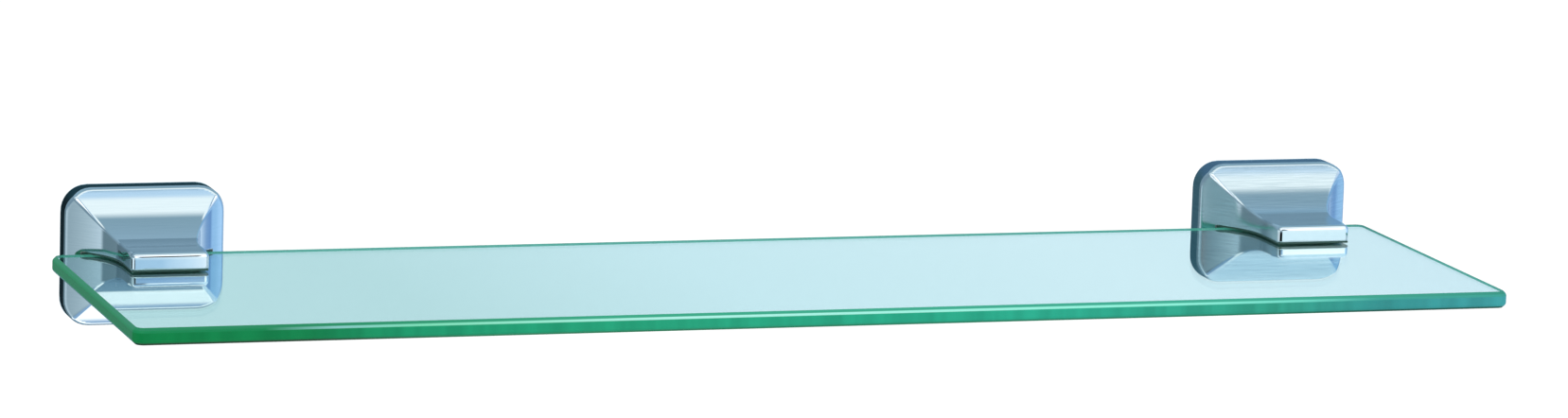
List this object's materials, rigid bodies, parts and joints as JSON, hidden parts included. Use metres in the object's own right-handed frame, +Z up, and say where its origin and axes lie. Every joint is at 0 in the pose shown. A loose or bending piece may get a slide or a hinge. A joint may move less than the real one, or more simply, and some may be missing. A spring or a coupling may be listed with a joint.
{
  "type": "wall shelf with brackets",
  "caption": "Flat float-glass wall shelf held in the slotted arms of flared, plated cast brackets that hang on hidden wall plates.",
  "frame": {"origin": "in the wall plane, midway between the two brackets, at the height of their centres: the centre of the four wall-screw holes", "axes": "+X along the shelf to the viewer's right, -Y out from the wall into the room, +Z up"},
  "size_m": [0.5, 0.1528, 0.05],
  "materials": {
    "float_glass": "clear, ground and polished edges",
    "plated_casting": "satin chrome plate on zinc casting, polished front",
    "clear_liner": "translucent soft vinyl",
    "zinc_plated_steel": "zinc plated, dull",
    "screw_steel": "plain machined steel",
    "nylon_pad": "natural nylon"
  },
  "bodies": {
    "brackets": {"wall_plate_left": "zinc_plated_steel", "bracket_body_left": "plated_casting", "slot_liner_left": "clear_liner", "wall_plate_right": "zinc_plated_steel", "bracket_body_right": "plated_casting", "slot_liner_right": "clear_liner"},
    "pane": {"glass_shelf": "float_glass"},
    "base_fixing_left": {"base_screw_left": "screw_steel"},
    "clamp_left": {"clamp_screw_left": "screw_steel", "clamp_pad_left": "nylon_pad"},
    "base_fixing_right": {"base_screw_right": "screw_steel"},
    "clamp_right": {"clamp_screw_right": "screw_steel", "clamp_pad_right": "nylon_pad"}
  },
  "joints": [
    {"name": "pane_slide", "type": "slide", "parent": "brackets", "child": "pane", "axis": [0, -1, 0], "range_m": [0, 0.04]},
    {"name": "base_screw_left_travel", "type": "slide", "parent": "brackets", "child": "base_fixing_left", "axis": [0, 0, -1], "range_m": [0, 0.005]},
    {"name": "base_screw_right_travel", "type": "slide", "parent": "brackets", "child": "base_fixing_right", "axis": [0, 0, -1], "range_m": [0, 0.005]},
    {"name": "clamp_screw_left_travel", "type": "slide", "parent": "brackets", "child": "clamp_left", "axis": [0, 0, -1], "range_m": [0, 0.003]},
    {"name": "clamp_screw_right_travel", "type": "slide", "parent": "brackets", "child": "clamp_right", "axis": [0, 0, -1], "range_m": [0, 0.003]}
  ]
}
